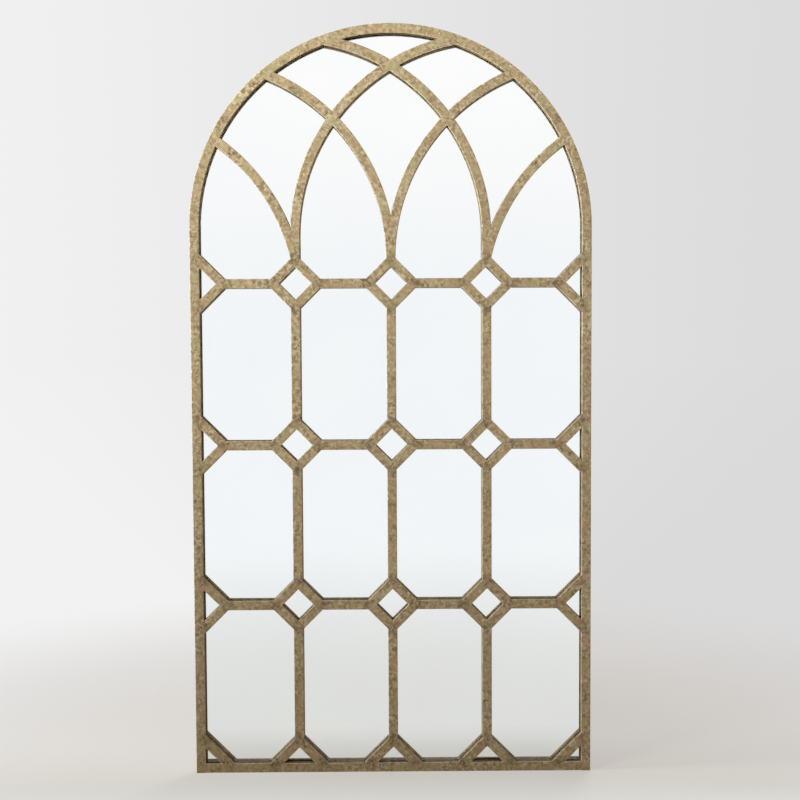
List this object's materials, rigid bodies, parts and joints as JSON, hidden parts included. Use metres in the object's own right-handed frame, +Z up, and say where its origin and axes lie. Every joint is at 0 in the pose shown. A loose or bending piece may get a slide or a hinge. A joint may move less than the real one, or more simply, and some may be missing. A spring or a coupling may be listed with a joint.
{
  "type": "gothic arched mirror",
  "caption": "Tall wall mirror with a half-round head behind a welded tube lattice of diamonds, mullions and cross bars, with pointed gothic tracery in the arch, hung from D-rings.",
  "frame": {"origin": "centre of the lower edge, halfway between the front face and the wall", "axes": "+Z up, +X to the right of someone who looks into the mirror, +Y towards the wall; the front faces -Y"},
  "size_m": [0.8, 0.031, 1.4999],
  "materials": {
    "antique_gold": "satin, mottled brown and olive over gold",
    "mirror": "silvered, polished",
    "board": "fibreboard, dark painted back",
    "foam_tape": "foam",
    "setting_rubber": "matt",
    "zinc_plate": "zinc-plated, satin",
    "bumper_rubber": "matt"
  },
  "bodies": {
    "frame": {"arch_rim": "antique_gold", "backing_board": "board", "board_tabs": "antique_gold", "bottom_rail": "antique_gold", "corner_brace_left": "antique_gold", "corner_brace_right": "antique_gold", "cross_bars_centre": "antique_gold", "cross_bars_lower": "antique_gold", "cross_bars_upper": "antique_gold", "diamond_centre_left": "antique_gold", "diamond_centre_middle": "antique_gold", "diamond_centre_right": "antique_gold", "diamond_lower_left": "antique_gold", "diamond_lower_middle": "antique_gold", "diamond_lower_right": "antique_gold", "diamond_upper_left": "antique_gold", "diamond_upper_middle": "antique_gold", "diamond_upper_right": "antique_gold", "glazing_tape_cross_bars": "foam_tape", "glazing_tape_uprights": "foam_tape", "half_diamond_centre_left": "antique_gold", "half_diamond_centre_right": "antique_gold", "half_diamond_lower_left": "antique_gold", "half_diamond_lower_right": "antique_gold", "half_diamond_upper_left": "antique_gold", "half_diamond_upper_right": "antique_gold", "hanger_screws": "zinc_plate", "hanger_strap_left": "zinc_plate", "hanger_strap_right": "zinc_plate", "left_stile": "antique_gold", "long_arc_left": "antique_gold", "long_arc_right_lower": "antique_gold", "long_arc_right_upper": "antique_gold", "middle_arc_left_lower": "antique_gold", "middle_arc_left_upper": "antique_gold", "middle_arc_right_lower": "antique_gold", "middle_arc_right_upper": "antique_gold", "mirror_glass": "mirror", "mullion_centre_left": "antique_gold", "mullion_centre_middle": "antique_gold", "mullion_centre_right": "antique_gold", "mullion_lower_left": "antique_gold", "mullion_lower_middle": "antique_gold", "mullion_lower_right": "antique_gold", "mullion_upper_left": "antique_gold", "mullion_upper_middle": "antique_gold", "mullion_upper_right": "antique_gold", "outer_arc_left": "antique_gold", "outer_arc_right": "antique_gold", "rail_diamond_left": "antique_gold", "rail_diamond_middle": "antique_gold", "rail_diamond_right": "antique_gold", "right_stile": "antique_gold", "setting_blocks": "setting_rubber", "stile_end_caps": "antique_gold", "wall_bumpers": "bumper_rubber"},
    "ring_left": {"d_ring_left": "zinc_plate"},
    "ring_right": {"d_ring_right": "zinc_plate"}
  },
  "joints": [
    {"name": "ring_left_swing", "type": "hinge", "parent": "frame", "child": "ring_left", "pos_m": [-0.3905, 0.0124, 1.06], "axis": [1, 0, 0], "range_deg": [0, 180]},
    {"name": "ring_right_swing", "type": "hinge", "parent": "frame", "child": "ring_right", "pos_m": [0.3905, 0.0124, 1.06], "axis": [1, 0, 0], "range_deg": [0, 180]}
  ]
}
